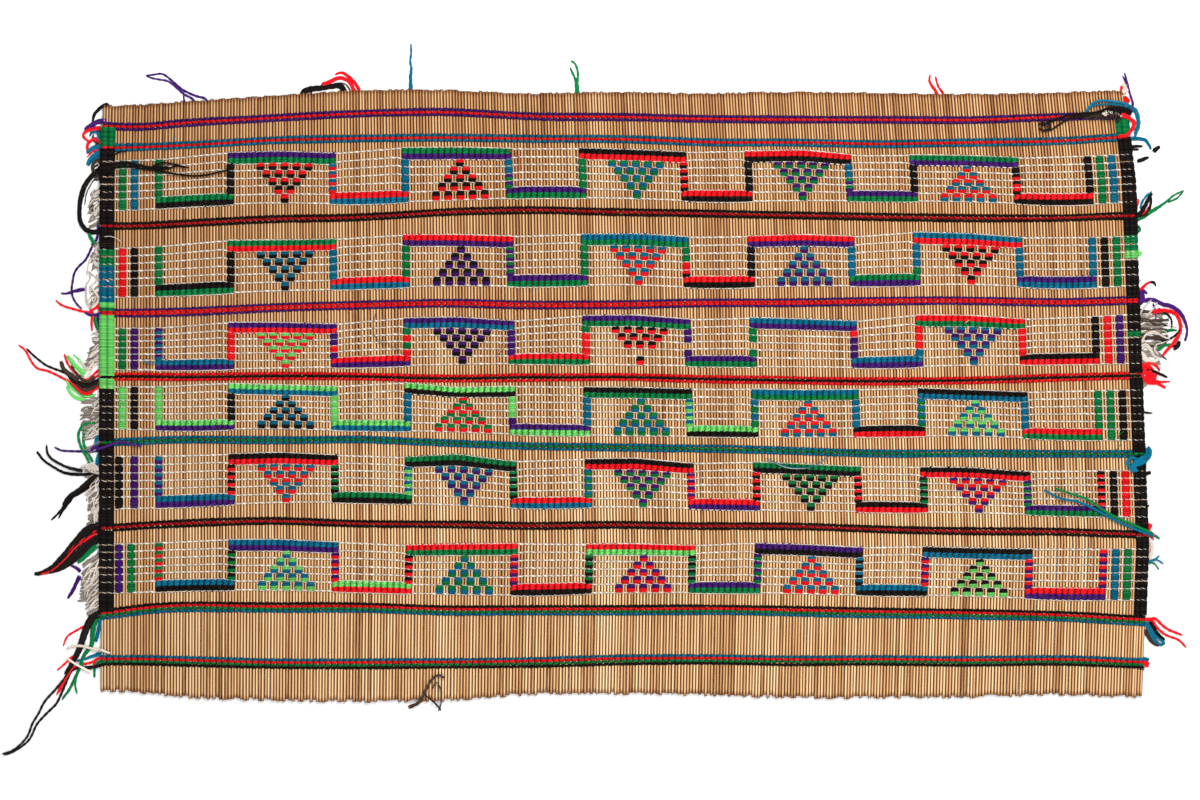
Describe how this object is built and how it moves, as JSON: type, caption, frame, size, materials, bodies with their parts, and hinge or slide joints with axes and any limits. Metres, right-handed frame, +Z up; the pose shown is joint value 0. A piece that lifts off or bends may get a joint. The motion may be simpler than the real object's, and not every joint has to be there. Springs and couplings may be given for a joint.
{
  "type": "tuareg reed mat",
  "caption": "Flat mat of straight reeds twined with coloured yarn in meander bands and stepped triangles, with wrapped side edges and loose yarn ends.",
  "frame": {"origin": "on the floor under the middle of the fifth border, which runs across the middle of the mat", "axes": "+X along the rows of twining, +Y along the reeds to the upper edge, +Z up to the decorated face"},
  "size_m": [1.0196, 0.613, 0.0073],
  "materials": {
    "reed": "dry split-free grass stems, low satin",
    "white_yarn": "undyed twisted yarn, matt",
    "black_yarn": "dyed twisted yarn, matt",
    "red_yarn": "dyed twisted yarn, matt",
    "purple_yarn": "dyed twisted yarn, matt",
    "green_yarn": "dyed twisted yarn, matt",
    "light_green_yarn": "dyed twisted yarn, matt",
    "teal_yarn": "dyed twisted yarn, matt",
    "brown_yarn": "old frayed yarn, matt"
  },
  "bodies": {
    "root": {"reed_ground": "reed", "border_1": "purple_yarn", "border_1_back": "purple_yarn", "border_2": "teal_yarn", "border_2_back": "teal_yarn", "border_3": "black_yarn", "border_3_back": "black_yarn", "border_4": "purple_yarn", "border_4_back": "purple_yarn", "border_5": "red_yarn", "border_5_back": "red_yarn", "border_6": "teal_yarn", "border_6_back": "teal_yarn", "border_7": "black_yarn", "border_7_back": "black_yarn", "border_8": "red_yarn", "border_8_back": "red_yarn", "border_9": "green_yarn", "border_9_back": "green_yarn", "band_1": "green_yarn", "band_2": "red_yarn", "band_3": "purple_yarn", "band_4": "light_green_yarn", "band_5": "red_yarn", "band_6": "purple_yarn", "wrap_left_1": "green_yarn", "wrap_right_1": "green_yarn", "wrap_left_2": "black_yarn", "wrap_right_2": "black_yarn", "wrap_left_3": "teal_yarn", "wrap_right_3": "black_yarn", "wrap_left_4": "light_green_yarn", "wrap_right_4": "black_yarn", "wrap_left_5": "black_yarn", "wrap_right_5": "black_yarn", "wrap_left_6": "black_yarn", "wrap_right_6": "black_yarn", "wrap_left_7": "black_yarn", "wrap_right_7": "black_yarn", "fringe_left": "white_yarn", "fringe_right": "red_yarn", "top_end_1": "purple_yarn", "top_end_2": "black_yarn", "top_end_3": "red_yarn", "top_end_4": "teal_yarn", "top_end_5": "green_yarn", "top_end_6": "red_yarn", "face_end_1": "black_yarn", "face_end_2": "black_yarn", "face_end_3": "teal_yarn", "face_end_4": "brown_yarn", "face_end_5": "teal_yarn", "face_end_6": "green_yarn", "face_end_7": "purple_yarn", "face_end_8": "white_yarn", "face_end_9": "brown_yarn"}
  },
  "joints": []
}
